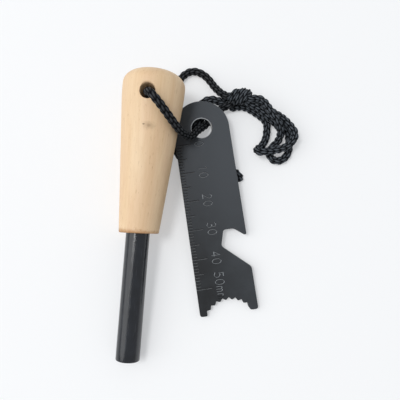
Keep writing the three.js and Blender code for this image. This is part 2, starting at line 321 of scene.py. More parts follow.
# Node groups shared by more than one finish
def make_stretched_grain():
    group = bpy.data.node_groups.new("stretched_grain", "ShaderNodeTree")
    group_socket(group, "Vector", "NodeSocketVector", "INPUT")
    group_socket(group, "Across", "NodeSocketFloat", "INPUT", 1.0)
    group_socket(group, "Along", "NodeSocketFloat", "INPUT", 0.1)
    group_socket(group, "Low", "NodeSocketFloat", "INPUT", 0.3)
    group_socket(group, "High", "NodeSocketFloat", "INPUT", 0.7)
    group_socket(group, "Mask", "NodeSocketFloat", "OUTPUT")
    nodes = Nodes(group)
    entry = nodes.add("NodeGroupInput")
    leave = nodes.add("NodeGroupOutput")
    scale = nodes.add("ShaderNodeCombineXYZ")
    nodes.feed(scale.inputs["X"], entry.outputs["Across"])
    nodes.feed(scale.inputs["Y"], entry.outputs["Along"])
    nodes.feed(scale.inputs["Z"], entry.outputs["Across"])
    stretched = nodes.vector("MULTIPLY", entry.outputs["Vector"], scale.outputs[0])
    mask = nodes.noise(stretched, 1.0, 3.0, 0.55)
    nodes.feed(leave.inputs["Mask"], nodes.ramp(mask, entry.outputs["Low"], entry.outputs["High"]))
    return group


def make_fine_pitting():
    group = bpy.data.node_groups.new("fine_pitting", "ShaderNodeTree")
    group_socket(group, "Vector", "NodeSocketVector", "INPUT")
    group_socket(group, "Size", "NodeSocketFloat", "INPUT", 0.3)
    group_socket(group, "Amount", "NodeSocketFloat", "INPUT", 0.5)
    group_socket(group, "Height", "NodeSocketFloat", "OUTPUT")
    nodes = Nodes(group)
    entry = nodes.add("NodeGroupInput")
    leave = nodes.add("NodeGroupOutput")
    scale = nodes.maths("DIVIDE", 1.0, entry.outputs["Size"])
    coarse = nodes.noise(entry.outputs["Vector"], scale, 4.0, 0.6)
    cells = nodes.add("ShaderNodeTexVoronoi")
    nodes.feed(cells.inputs["Vector"], entry.outputs["Vector"])
    nodes.feed(cells.inputs["Scale"], scale)
    dents = nodes.ramp(cells.outputs["Distance"], 0.1, 0.4)
    both = nodes.maths("MULTIPLY", coarse, dents)
    nodes.feed(leave.inputs["Height"], nodes.maths("MULTIPLY", both, entry.outputs["Amount"]))
    return group


stretched_grain = make_stretched_grain()
fine_pitting = make_fine_pitting()

# Fine ridges across one stitch of the braid
YARNS = 3

# Dark marks on the wood, in the handle's own frame: place, squeeze of the distance, reach and depth
KNOT_SPECK = (-0.8, 34.4, 9.46)
SPECK_BESIDE = (0.9, 34.1, 9.4)
WOOD_MARKS = (
    (KNOT_SPECK, (0.9, 1.6, 0.35), 0.5, 0.85),
    (SPECK_BESIDE, (0.9, 1.1, 0.35), 0.75, 0.3),
    (SPECK_BESIDE, (0.35, 0.5, 0.2), 1.0, 0.3),
)


def make_beech():
    made, nodes, shader = material("pale_beech")
    at = nodes.local(HANDLE_PLACE)
    bands = nodes.group(stretched_grain, Vector=at, Across=0.32, Along=0.012, Low=0.34, High=0.68)["Mask"]
    shift = nodes.vector("ADD", at, (31.0, 7.0, 11.0))
    warm = nodes.group(stretched_grain, Vector=shift, Across=0.2, Along=0.02, Low=0.4, High=0.66)["Mask"]
    lines = nodes.group(stretched_grain, Vector=at, Across=2.1, Along=0.05, Low=0.38, High=0.74)["Mask"]
    flecks = nodes.group(stretched_grain, Vector=shift, Across=3.6, Along=0.42, Low=0.63, High=0.74)["Mask"]
    colour = nodes.mix(bands, linear(233, 205, 168), linear(227, 195, 155))
    colour = nodes.mix(nodes.maths("MULTIPLY", warm, 0.7), colour, linear(224, 190, 153))
    colour = nodes.mix(nodes.maths("MULTIPLY", lines, 0.22), colour, linear(208, 171, 127))
    colour = nodes.mix(nodes.maths("MULTIPLY", flecks, 0.5), colour, linear(166, 122, 80))
    wobble = nodes.noise(at, 1.1)
    for spot, squeeze, reach, depth in WOOD_MARKS:
        ring = nodes.vector("MULTIPLY", nodes.vector("SUBTRACT", at, spot), squeeze)
        unevenness = nodes.maths("MULTIPLY_ADD", wobble, 0.9, -0.45)
        spread = nodes.maths("ADD", nodes.length(ring), unevenness)
        mark = nodes.maths("MULTIPLY", nodes.ramp(spread, reach, 0.1), depth)
        colour = nodes.mix(mark, colour, linear(122, 92, 60))
    axis = nodes.add("ShaderNodeSeparateXYZ")
    nodes.feed(axis.inputs[0], at)
    # The wood is painted darker towards the mouth, in an uneven band
    towards_mouth = nodes.maths("MULTIPLY_ADD", wobble, 1.6, nodes.maths("MULTIPLY", axis.outputs["Y"], -1.0))
    mouth = nodes.ramp(towards_mouth, -0.9, 0.9)
    colour = nodes.mix(nodes.maths("MULTIPLY", mouth, 0.85), colour, linear(170, 120, 70))
    nodes.feed(shader.inputs["Base Color"], colour)
    nodes.feed(shader.inputs["Roughness"], nodes.maths("MULTIPLY_ADD", lines, 0.1, 0.5))
    height = nodes.maths("MULTIPLY_ADD", flecks, -0.6, nodes.maths("MULTIPLY", lines, -0.5))
    nodes.feed(shader.inputs["Normal"], nodes.bump(height, 0.35, 0.00006))
    return made


def make_rod_coating():
    made, nodes, shader = material("black_rod_coating")
    at = nodes.local(GRIP_PLACE)
    scratches = nodes.group(stretched_grain, Vector=at, Across=3.0, Along=0.12, Low=0.6, High=0.75)["Mask"]
    cloud = nodes.noise(at, 0.35)
    pits = nodes.group(fine_pitting, Vector=at, Size=0.32, Amount=1.0)["Height"]
    colour = nodes.mix(nodes.ramp(cloud, 0.3, 0.7), linear(14, 18, 25), linear(24, 28, 36))
    colour = nodes.mix(nodes.maths("MULTIPLY", scratches, 0.35), colour, linear(84, 89, 96))
    nodes.feed(shader.inputs["Base Color"], colour)
    nodes.feed(shader.inputs["Roughness"], nodes.maths("MULTIPLY_ADD", cloud, 0.1, 0.1))
    shader.inputs["Specular IOR Level"].default_value = 0.65
    nodes.feed(shader.inputs["Normal"], nodes.bump(pits, 0.35, 0.00006))
    return made


def make_oxide_steel():
    made, nodes, shader = material("dark_oxide_steel_with_painted_light")
    at = nodes.local(STRIKER_PLACE)
    cloud = nodes.noise(at, 0.16, 4.0, 0.55)
    grit = nodes.group(fine_pitting, Vector=at, Size=0.16, Amount=1.0)["Height"]
    along = nodes.add("ShaderNodeSeparateXYZ")
    nodes.feed(along.inputs[0], at)
    # Painted light: the face is painted lighter at the head and much darker towards the prongs, and lighter
    # towards the right edge, in place of how light and its reflection fall across the plate
    colour = nodes.mix(nodes.ramp(along.outputs["Y"], 6.0, -60.0), linear(60, 64, 69), linear(6, 9, 13))
    patches = nodes.maths("MULTIPLY", nodes.ramp(cloud, 0.35, 0.7), 0.3)
    colour = nodes.mix(patches, colour, linear(52, 57, 62))
    right = nodes.ramp(along.outputs["X"], -9.0, 9.0)
    colour = nodes.mix(nodes.maths("MULTIPLY", right, 0.3), colour, linear(84, 89, 95))
    nodes.feed(shader.inputs["Base Color"], colour)
    shader.inputs["Metallic"].default_value = 0.35
    nodes.feed(shader.inputs["Roughness"], nodes.maths("MULTIPLY_ADD", cloud, 0.12, 0.46))
    nodes.feed(shader.inputs["Normal"], nodes.bump(grit, 0.18, 0.00003))
    return made


def make_mottled(name, place, scale, colours, roughness, metallic=0.0, detail=3.0, grain=0.6):
    """A finish that wavers between two colours, and in roughness by a factor and a base."""
    made, nodes, shader = material(name)
    cloud = nodes.noise(nodes.local(place), scale, detail, grain)
    nodes.feed(shader.inputs["Base Color"], nodes.mix(cloud, *colours))
    shader.inputs["Metallic"].default_value = metallic
    nodes.feed(shader.inputs["Roughness"], nodes.maths("MULTIPLY_ADD", cloud, *roughness))
    return made


def make_striker_finishes():
    """The striker's finishes, in order: plain steel, dark engraving with painted shade, worn edge with a
    painted highlight, and painted light on engraved walls.
    """
    # The darkest pair paints the engraving and the shade in its grooves, the palest pair a worn edge with a
    # painted highlight, and the middle pair painted light on groove walls
    engraving_dark_and_shade = (linear(18, 19, 22), linear(34, 35, 38))
    worn_and_highlight = (linear(170, 173, 177), linear(222, 225, 228))
    painted_lit = (linear(118, 122, 126), linear(150, 154, 158))
    return (
        make_oxide_steel(),
        make_mottled("engraved_dark_and_painted_shade", STRIKER_PLACE, 1.6, engraving_dark_and_shade, (0.2, 0.6)),
        make_mottled("worn_steel_edge_and_painted_highlight", STRIKER_PLACE, 0.8, worn_and_highlight, (0.2, 0.3), metallic=0.3),
        make_mottled("engraved_wall_painted_light", STRIKER_PLACE, 1.1, painted_lit, (0.2, 0.4), metallic=0.4),
    )


def make_glue():
    colours = (linear(206, 190, 146), linear(188, 168, 118))
    return make_mottled("clear_glue", GRIP_PLACE, 0.7, colours, (0.1, 0.2), detail=2.0, grain=0.5)


def make_braid(name, painted_crest_highlight):
    made, nodes, shader = material(name)
    height = nodes.add("ShaderNodeAttribute", attribute_name="braid_height").outputs["Fac"]
    across = nodes.add("ShaderNodeAttribute", attribute_name="yarn_across").outputs["Fac"]
    along = nodes.add("ShaderNodeAttribute", attribute_name="yarn_along").outputs["Fac"]
    ridge = nodes.maths("SINE", nodes.maths("MULTIPLY", across, 2 * math.pi * YARNS))
    spot = nodes.add("ShaderNodeCombineXYZ")
    nodes.feed(spot.inputs["X"], nodes.maths("MULTIPLY", across, 9.0))
    nodes.feed(spot.inputs["Y"], nodes.maths("MULTIPLY", along, 2.0))
    fibre = nodes.noise(spot.outputs[0], 1.0)
    streak = nodes.ramp(nodes.maths("MULTIPLY_ADD", ridge, 0.08, fibre), 0.2, 0.8, 0.62, 1.0)
    edge = nodes.ramp(nodes.maths("ABSOLUTE", across), 0.5, 0.3, 0.2, 1.0)
    # Painted light: the stitches' crests are painted lighter, and the gaps between stitches and their edges
    # darker, as highlight and shade on the black cord; the gaps are also made less glossy. The yarn streaks
    # are the braid's own
    crest_highlight_and_gap_shade = nodes.maths("MULTIPLY", nodes.ramp(height, 0.25, 1.05), streak)
    crest_highlight_and_gap_shade = nodes.maths("MULTIPLY", crest_highlight_and_gap_shade, edge)
    nodes.feed(shader.inputs["Base Color"], nodes.mix(crest_highlight_and_gap_shade, linear(10, 11, 13), painted_crest_highlight))
    nodes.feed(shader.inputs["Roughness"], nodes.maths("MULTIPLY_ADD", fibre, 0.2, 0.5))
    nodes.feed(shader.inputs["Specular IOR Level"], nodes.maths("MULTIPLY", crest_highlight_and_gap_shade, 0.4))
    bump = nodes.maths("MULTIPLY_ADD", ridge, 0.25, fibre)
    nodes.feed(shader.inputs["Normal"], nodes.bump(bump, 0.6, 0.0001))
    return made


# Spark rod, cut into bands along its length
ROD_BANDS = 30


def make_rod():
    length = ROD_EXPOSED + ROD_INSERTED
    profile = [(0, 0)]
    for step in range(5):
        turn = math.pi / 2 * step / 4
        round_off = ROD_EDGE * (1 - math.sin(turn))
        profile.append((ROD_RADIUS - round_off, ROD_EDGE * (1 - math.cos(turn))))
    for step in range(1, ROD_BANDS):
        profile.append((ROD_RADIUS, ROD_EDGE + (length - 2 * ROD_EDGE) * step / ROD_BANDS))
    profile += [(ROD_RADIUS, length - ROD_EDGE), (ROD_RADIUS - ROD_EDGE, length), (0, length)]
    rod = finished(turned(profile, 96), "spark_rod")
    set_down(rod, GRIP_PLACE, 40)
    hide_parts("ferro_rod")
    return dressed(rod, "grip", "coated_rod", make_rod_coating())


# Handle: its cone swells over a short stretch into the widest line, where the dome starts
SWELL_LENGTH = 5.9
SWELL_DROP = 0.25
CONE_BANDS = 26
SWELL_BANDS = 5
DOME_BANDS = 28
GLUE_ROOM = 1.6
DRILL_CONE = 2.6


def handle_profile():
    widest = HANDLE_LENGTH - DOME_HEIGHT
    profile = [(0, 0), (MOUTH_RADIUS - 1.6, 0)]
    for step in range(6):
        turn = math.pi / 2 * step / 5
        radius = MOUTH_RADIUS - MOUTH_EDGE * (1 - math.sin(turn))
        profile.append((radius, MOUTH_EDGE * (1 - math.cos(turn))))
    swell_at = widest - SWELL_LENGTH
    swell_radius = HEAD_RADIUS - SWELL_DROP
    for step in range(1, CONE_BANDS):
        share = step / CONE_BANDS
        profile.append((
            MOUTH_RADIUS + (swell_radius - MOUTH_RADIUS) * share,
            MOUTH_EDGE + (swell_at - MOUTH_EDGE) * share,
        ))
    slope = (swell_radius - MOUTH_RADIUS) / (swell_at - MOUTH_EDGE)
    for step in range(SWELL_BANDS):
        share = step / SWELL_BANDS
        rise = SWELL_LENGTH * slope * share * (1 - share) ** 2
        ease = share * share * (3 - 2 * share)
        profile.append((swell_radius + SWELL_DROP * ease + rise, swell_at + SWELL_LENGTH * share))
    for step in range(DOME_BANDS):
        turn = math.pi / 2 * step / DOME_BANDS
        profile.append((HEAD_RADIUS * math.cos(turn) ** DOME_ROUND, widest + DOME_HEIGHT * math.sin(turn)))
    profile.append((0, HANDLE_LENGTH))
    return profile


def make_handle():
    body = turned(handle_profile(), 144)
    for vert in body.verts:
        vert.co.y += MOUTH_SKEW * vert.co.x * max(0.0, 1 - vert.co.y / SKEW_LENGTH)
    handle = finished(body, "turned_handle")
    depth = ROD_INSERTED + GLUE_ROOM
    bore = [
        (0, -1),
        (BORE_RADIUS + 1.35, -1),
        (BORE_RADIUS, 0.35),
        (BORE_RADIUS, depth),
        (0, depth + DRILL_CONE),
    ]
    bore_turn = Matrix.Translation((-HANDLE_ASIDE, 0, 0)) @ Matrix.Rotation(HANDLE_SET, 4, "Z")
    bore_cutter = finished(turned(bore, 96), "bore_cutter", bore_turn)
    reach = HEAD_RADIUS + 1
    hole = [(0, -reach), (LANYARD_RADIUS + RIM_EASE, -reach)]
    for side in (-1, 1):
        for step in range(9):
            share = step / 8 if side < 0 else 1 - step / 8
            turn = math.pi / 2 * share
            radius = LANYARD_RADIUS + RIM_EASE * (1 - math.sin(turn))
            hole.append((radius, side * (HEAD_RADIUS - RIM_EASE * (1 - math.cos(turn)))))
    hole += [(LANYARD_RADIUS + RIM_EASE, reach), (0, reach)]
    hole_turn = (
        Matrix.Translation((0, LANYARD_AT, 0))
        @ Matrix.Rotation(-LANYARD_ROLL, 4, "Y")
        @ Matrix.Rotation(math.pi / 2, 4, "X")
    )
    hole_cutter = finished(turned(hole, 72), "hole_cutter", hole_turn)
    cut_away(handle, [bore_cutter, hole_cutter])
    set_down(handle, HANDLE_PLACE, 50)
    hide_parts("handle")
    return dressed(handle, "grip", "wood", make_beech())


# Striker: its prongs, its toothed mouth and the corners of its bottle opener notch, up to the hooked tip.
# Each corner has its distance in from the right edge, its place along the plate and its ease.
PRONG_WIDTH = 2.5
PRONG_DEPTH = 1.05
PRONG_OUTER_EASE = 0.9
PRONG_INNER_EASE = 0.4
SERRATION_RISE = 4.75
TOOTH_COUNT = 8
TOOTH_DEPTH = 0.85
TOOTH_EASE = 0.14
OPENER_CORNERS = (
    (0, -50.1, 0.9),
    (9.1, -41.9, 0.9),
    (7.6, -36.45, 0.9),
    (4, -36.45, 0.9),
    (0.6, -39.1, 0.6),
    (0, -39.1, 0.6),
)
HEAD_STEPS = 72
CORNER_STEPS = 6
RIM_BEVEL = 0.16
HOLE_CHAMFER = 0.25
CUT_OVERRUN = 1


def rounded_corners(corners, first, last, steps):
    """The outline's corners eased into curves, between the points that come before and after them."""
    points = []
    for index, (x, y, ease) in enumerate(corners):
        corner = Vector((x, y))
        before = Vector(corners[index - 1][:2]) if index else Vector(last)
        after = Vector(corners[index + 1][:2]) if index + 1 < len(corners) else Vector(first)
        if ease == 0:
            points.append((x, y))
            continue
        start = corner + (before - corner).normalized() * min(ease, (before - corner).length / 2)
        end = corner + (after - corner).normalized() * min(ease, (after - corner).length / 2)
        for step in range(steps + 1):
            t = step / steps
            point = start * (1 - t) ** 2 + corner * 2 * t * (1 - t) + end * t * t
            points.append((point.x, point.y))
    return points


def serration():
    """Valleys and tips of the teeth along the arc between the prongs."""
    half_chord = STRIKER_HALF - PRONG_WIDTH
    chord_at = PRONG_DEPTH - STRIKER_REACH
    rise = SERRATION_RISE - PRONG_DEPTH
    radius = (half_chord ** 2 + rise ** 2) / (2 * rise)
    centre = chord_at + rise - radius
    half_angle = math.asin(half_chord / radius)
    turn_step = 2 * half_angle / TOOTH_COUNT
    half_depth = TOOTH_DEPTH / 2
    teeth = []
    for index in range(TOOTH_COUNT):
        valley = half_angle - turn_step * (index + 0.25)
        tip = half_angle - turn_step * (index + 0.75)
        for angle, length in ((valley, radius + half_depth), (tip, radius - half_depth)):
            teeth.append((-math.sin(angle) * length, centre + math.cos(angle) * length, TOOTH_EASE))
    return teeth


def striker_outline():
    half = STRIKER_HALF
    head = []
    for step in range(HEAD_STEPS + 1):
        turn = math.pi * step / HEAD_STEPS
        head.append((half * math.cos(turn), half * math.sin(turn)))
    end = -STRIKER_REACH
    corners = [(-half, end, PRONG_OUTER_EASE), (PRONG_WIDTH - half, end, PRONG_INNER_EASE)]
    corners += serration()
    corners += [(half - PRONG_WIDTH, end, PRONG_INNER_EASE), (half, end, PRONG_OUTER_EASE)]
    corners += [(half - inward, along, ease) for inward, along, ease in OPENER_CORNERS]
    return head + rounded_corners(corners, head[0], head[-1], CORNER_STEPS)


# Ruler: millimetre ticks from the left edge, as grooves that widen towards the face
ENGRAVING_DEPTH = 0.1
RULER_START = 5.3
RULER_LENGTH = 50
TEN_TICK = 5.2
FIVE_TICK = 3.2
ONE_TICK = 1.7
TICK_WIDTH_TOP = 0.44
TICK_WIDTH_FLOOR = 0.2


def ruler_cutter():
    bm = bmesh.new()
    for index in range(RULER_LENGTH + 1):
        length = TEN_TICK if index % 10 == 0 else FIVE_TICK if index % 5 == 0 else ONE_TICK
        made = bmesh.ops.create_cube(bm, size=1)["verts"]
        for vert in made:
            top = vert.co.z > 0
            x = -STRIKER_HALF + (length + (0.1 if top else 0) if vert.co.x > 0 else -CUT_OVERRUN)
            width = TICK_WIDTH_TOP if top else TICK_WIDTH_FLOOR
            z = STRIKER_THICKNESS + (0.02 if top else -ENGRAVING_DEPTH)
            vert.co = Vector((x, -RULER_START - index + vert.co.y * width, z))
    return finished(bm, "ruler_cutter")


# Strokes of the figures, each in a box one wide and one high, and whether a stroke closes
FIGURES = {
    "0": [(
        [(0.5, 1), (0.86, 0.86), (1, 0.5), (0.86, 0.14), (0.5, 0), (0.14, 0.14), (0, 0.5), (0.14, 0.86)],
        True,
    )],
    "1": [([(0.2, 0.79), (0.54, 1)], False), ([(0.54, 0.99), (0.54, 0)], False)],
    "2": [
        ([(0.03, 0.76), (0.2, 0.95), (0.55, 1), (0.9, 0.88), (0.9, 0.64), (0.5, 0.34), (0, 0)], False),
        ([(0, 0), (1, 0)], False),
    ],
    "3": [
        ([(0.05, 0.9), (0.45, 1), (0.88, 0.88), (0.86, 0.62), (0.4, 0.53)], False),
        ([(0.4, 0.53), (0.9, 0.45), (0.97, 0.18), (0.5, 0), (0, 0.1)], False),
    ],
    "4": [([(0.75, 0), (0.75, 1)], False), ([(0.75, 1), (0, 0.3)], False), ([(0, 0.3), (1, 0.3)], False)],
    "5": [
        ([(0.92, 1), (0.15, 1)], False),
        ([(0.15, 1), (0.08, 0.56)], False),
        ([(0.08, 0.56), (0.55, 0.62), (0.97, 0.42), (0.9, 0.12), (0.45, 0), (0, 0.1)], False),
    ],
    "m": [
        ([(0, 0), (0, 1)], False),
        ([(0, 0.7), (0.25, 1), (0.5, 0.75), (0.5, 0)], False),
        ([(0.5, 0.7), (0.75, 1), (1, 0.75), (1, 0)], False),
    ],
}
FIGURE_WIDTH = 1.6
FIGURE_STEP = 2.45
FIGURE_FOOT = 6.7
FIGURE_HEIGHT = 3.0
UNIT_HEIGHT = 2.0
STROKE_RADIUS = 0.17
STROKE_RISE = 0.06

# Figures beside the ruler: text, where it starts along the plate, and its height
RULER_FIGURES = [("0", 4.6, FIGURE_HEIGHT)]
RULER_FIGURES += [(str(number), RULER_START + number - 1.9, FIGURE_HEIGHT) for number in (10, 20, 30, 40)]
RULER_FIGURES += [("50", RULER_START + RULER_LENGTH - 4.9, FIGURE_HEIGHT)]
RULER_FIGURES += [("mm", RULER_START + RULER_LENGTH - 0.2, UNIT_HEIGHT)]

# The striker's finishes, as places in its list of materials: plain steel, dark engraving with painted shade,
# worn edge with a painted highlight, and painted light on engraved walls
PLAIN, DARK_ENGRAVING_AND_SHADE, WORN_EDGE_AND_HIGHLIGHT, PAINTED_LIT_WALL = range(4)


def stroke_cutter(line, closed):
    """A round-bottomed stroke along a line, joined to itself or capped at both ends."""
    curve = bpy.data.curves.new("stroke", "CURVE")
    curve.dimensions = "3D"
    curve.bevel_depth = STROKE_RADIUS
    curve.bevel_resolution = 2
    curve.use_fill_caps = not closed
    spline = curve.splines.new("POLY")
    kept = line[:-1] if closed else line
    spline.points.add(len(kept) - 1)
    for spot, point in zip(spline.points, kept):
        spot.co = (*point, 1)
    spline.use_cyclic_u = closed
    stroke = bpy.data.objects.new("stroke", curve)
    bpy.context.scene.collection.objects.link(stroke)
    bpy.context.view_layer.update()
    depsgraph = bpy.context.evaluated_depsgraph_get()
    solid = bpy.data.meshes.new_from_object(stroke.evaluated_get(depsgraph), depsgraph=depsgraph)
    bpy.data.objects.remove(stroke, do_unlink=True)
    bm = bmesh.new()
    bm.from_mesh(solid)
    bpy.data.meshes.remove(solid)
    bmesh.ops.remove_doubles(bm, verts=bm.verts, dist=0.0001)
    bmesh.ops.recalc_face_normals(bm, faces=bm.faces)
    return finished(bm, "stroke_cutter")


def figure_cutters(text, along, height):
    """Strokes to cut out of the face, read towards the prongs, with their feet at the ruler's side."""
    cutters = []
    for place, figure in enumerate(text):
        for points, closed in FIGURES[figure]:
            route = []
            for x, y in points + (points[:1] if closed else []):
                across = -STRIKER_HALF + FIGURE_FOOT + y * height
                down = along + place * FIGURE_STEP + x * FIGURE_WIDTH
                route.append((across, -down, STRIKER_THICKNESS + STROKE_RISE))
            cutters.append(stroke_cutter(smooth_route(route)[0], closed))
    return cutters


def striker_finish(middle, normal):
    """The finish of one face of the striker, from its middle and normal in millimetres."""
    if math.hypot(middle.x, middle.y) < STRIKER_HOLE_RADIUS + 0.6:
        # The hole's chamfer gets the worn edge finish, which is also a painted highlight
        return WORN_EDGE_AND_HIGHLIGHT if 0.2 < abs(normal.z) < 0.9 else PLAIN
    sunk = STRIKER_THICKNESS - ENGRAVING_DEPTH - 0.06 < middle.z < STRIKER_THICKNESS - 0.004
    inside = STRIKER_HALF - abs(middle.x) > 0.3 and 6 - STRIKER_REACH < middle.y
    if not (sunk and (inside or normal.z > 0.95)):
        return PLAIN
    in_figures = 6 < middle.x + STRIKER_HALF
    # Painted light: groove walls turned towards the light, and the figures' strokes, get the lit finish; the
    # other grooves get the dark engraving finish, which also paints their shade
    painted_lit = normal.y > 0.25 or in_figures and normal.y > -0.1
    return PAINTED_LIT_WALL if painted_lit else DARK_ENGRAVING_AND_SHADE


def make_striker():
    bm = bmesh.new()
    face = bm.faces.new([bm.verts.new((x, y, 0)) for x, y in striker_outline()])
    grown = bmesh.ops.extrude_face_region(bm, geom=[face])["geom"]
    lifted = [item for item in grown if isinstance(item, bmesh.types.BMVert)]
    bmesh.ops.translate(bm, verts=lifted, vec=(0, 0, STRIKER_THICKNESS))
    bmesh.ops.recalc_face_normals(bm, faces=bm.faces)
    rims = [edge for edge in bm.edges if abs(edge.verts[0].co.z - edge.verts[1].co.z) < 0.01]
    bmesh.ops.bevel(
        bm, geom=rims, offset=RIM_BEVEL, offset_type="OFFSET", segments=2, profile=0.5, affect="EDGES",
        clamp_overlap=True, material=-1,
    )
    striker = finished(bm, "engraved_striker")
    wide = STRIKER_HOLE_RADIUS + HOLE_CHAMFER + CUT_OVERRUN
    hole = [
        (0, -CUT_OVERRUN),
        (wide, -CUT_OVERRUN),
        (STRIKER_HOLE_RADIUS, HOLE_CHAMFER),
        (STRIKER_HOLE_RADIUS, STRIKER_THICKNESS - HOLE_CHAMFER),
        (wide, STRIKER_THICKNESS + CUT_OVERRUN),
        (0, STRIKER_THICKNESS + CUT_OVERRUN),
    ]
    hole_cutter = finished(turned(hole, 128), "hole_cutter", Matrix.Rotation(math.pi / 2, 4, "X"))
    cutters = [hole_cutter, ruler_cutter()]
    for text, along, height in RULER_FIGURES:
        cutters += figure_cutters(text, along, height)
    cut_away(striker, cutters)
    mend(striker)
    dressed(striker, "striker", "oxidised_steel", *make_striker_finishes())
    for polygon in striker.data.polygons:
        polygon.material_index = striker_finish(polygon.center, polygon.normal)
    set_down(striker, STRIKER_PLACE, None)
    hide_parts("striker")
    return striker


# Cord: routes of its stretches from the rod's free end, in millimetres
TETHER_ROUTE = [
    (29.8, 92.4, 5.3), (27.9, 92.4, 4.9), (26.2, 92.7, 4.4), (25.4, 93.2, 4.1), (24.4, 93.9, 3.6),
    (23.1, 95.3, 2.7), (21.7, 97.0, 1.8), (20.3, 98.9, 1.35), (18.7, 100.6, 1.35), (16.8, 101.9, 1.35),
    (14.7, 102.6, 1.35), (12.5, 102.4, 1.35), (10.6, 101.2, 1.35), (9.0, 99.2, 1.35), (7.9, 96.8, 1.35),
    (6.9, 94.3, 1.35), (6.0, 91.8, 1.35), (4.9, 89.5, 1.4), (3.4, 88.1, 1.9), (2.2, 87.4, 3.3),
    (1.8, 87.0, 5.6), (1.8, 86.7, 7.6), (1.5, 86.2, 11.0), (1.2, 85.7, 15.0), (0.9, 85.1, 19.0),
    (0.7, 84.7, 21.6), (0.9, 84.2, 23.6), (1.8, 83.4, 25.2), (3.3, 81.8, 25.9), (5.1, 80.0, 25.2),
    (6.8, 78.3, 23.8), (8.4, 76.8, 22.0), (9.9, 75.5, 19.8), (11.1, 74.7, 17.5), (12.0, 74.4, 15.0),
    (12.8, 74.6, 12.6), (13.8, 74.8, 10.4), (14.9, 75.4, 8.5), (15.9, 76.9, 6.8), (16.9, 78.6, 5.3),
    (18.0, 80.1, 3.8), (19.1, 81.6, 2.3), (20.3, 83.3, 1.4), (22.0, 85.4, 1.35), (23.5, 87.4, 1.4),
    (24.8, 88.6, 2.1), (26.2, 89.1, 3.2), (27.5, 89.7, 3.9), (28.9, 90.8, 4.6), (30.4, 92.0, 5.0),
]
TAIL_ROUTE = [
    (30.0, 92.5, 3.2), (28.2, 92.3, 1.9), (26.5, 92.0, 1.1), (25.6, 91.7, 1.0), (23.5, 91.9, 0.98),
    (21.4, 92.3, 0.98), (19.5, 91.9, 0.98), (17.9, 90.6, 0.98), (17.1, 88.8, 0.98), (17.3, 86.8, 0.98),
    (17.4, 84.2, 0.98), (16.1, 81.9, 0.98), (12.1, 77.6, 0.98), (10.6, 75.2, 0.98), (9.8, 73.1, 0.98),
    (10.6, 71.0, 0.98), (12.8, 68.9, 0.98), (16.1, 67.4, 0.98), (20.3, 66.8, 0.98), (24.2, 66.6, 0.98),
    (27.6, 66.6, 0.98), (30.1, 66.0, 0.98), (31.8, 64.9, 0.98), (32.8, 63.3, 0.98), (33.2, 62.4, 0.98),
]
OUTER_LOOP_ROUTE = [
    (27.6, 89.3, 1.6), (29.6, 89.8, 1.35), (30.6, 90.1, 1.35), (32.1, 90.2, 1.35), (33.7, 90.0, 1.35),
    (35.6, 89.2, 1.35), (37.7, 88.0, 1.35), (39.5, 86.8, 1.35), (40.8, 85.6, 1.35), (41.6, 84.0, 1.35),
    (41.7, 81.9, 1.35), (41.6, 79.8, 1.35), (41.1, 77.8, 1.35), (40.0, 75.8, 1.35), (39.1, 75.0, 1.7),
    (38.5, 74.2, 2.5), (38.4, 73.6, 3.4), (38.9, 73.1, 4.1), (39.8, 72.9, 4.4), (41.7, 73.2, 4.4),
    (43.6, 73.6, 4.4), (45.9, 74.3, 4.4), (48.2, 75.3, 4.4), (50.1, 77.1, 4.4), (51.2, 79.3, 4.2),
    (50.9, 81.4, 4.1), (49.5, 83.3, 4.1), (47.8, 85.2, 3.7), (46.0, 87.2, 2.4), (43.7, 88.9, 1.35),
    (41.6, 90.4, 1.35), (39.6, 92.0, 1.35), (37.7, 93.0, 1.35), (36.0, 93.2, 1.35), (34.4, 93.1, 1.9),
    (32.8, 92.8, 2.9),
]
INNER_LOOP_ROUTE = [
    (32.4, 92.3, 5.6), (33.9, 91.8, 6.1), (35.5, 91.5, 6.3), (36.8, 91.7, 6.3), (38.4, 91.4, 6.3),
    (39.9, 90.1, 6.6), (41.3, 88.2, 6.8), (42.8, 86.2, 6.8), (44.3, 84.3, 6.3), (45.6, 82.6, 5.1),
    (46.2, 80.9, 4.0), (46.3, 79.4, 2.6), (45.5, 77.6, 1.5), (43.9, 75.8, 1.35), (43.1, 74.0, 1.35),
    (43.4, 72.3, 1.35), (44.7, 71.1, 1.35), (46.5, 71.0, 1.35), (48.2, 71.9, 1.35), (49.4, 73.6, 1.35),
    (49.9, 75.7, 1.35), (49.8, 77.9, 1.35), (49.7, 79.7, 1.35), (49.3, 81.5, 1.35), (48.1, 83.1, 1.35),
    (46.3, 83.5, 1.35), (44.5, 84.3, 2.7), (42.5, 85.5, 4.0), (40.5, 87.0, 4.2), (38.7, 88.4, 4.2),
    (37.0, 89.5, 4.1), (35.9, 89.9, 4.1), (34.5, 90.6, 4.2), (33.0, 91.5, 4.4),
]
KNOT_CENTRE = Vector((31.1, 92.6, 5.0))
KNOT_TURNS = 3.3
KNOT_LENGTH = 6.6
KNOT_POINTS = 40

# Braid: columns of stitches round the cord. Its lean and stagger are shares of one stitch.
KNIT_COLUMNS = 4
STITCH_LENGTH = 2.2
STITCH_LEAN = 0.8
STITCH_STAGGER = 0.5
BRAID_SIDES = 50
BRAID_STEP = 0.16
END_ROUND = 0.8
FRAY_LENGTH = 4
FLOOR_CONTACT = 0.02


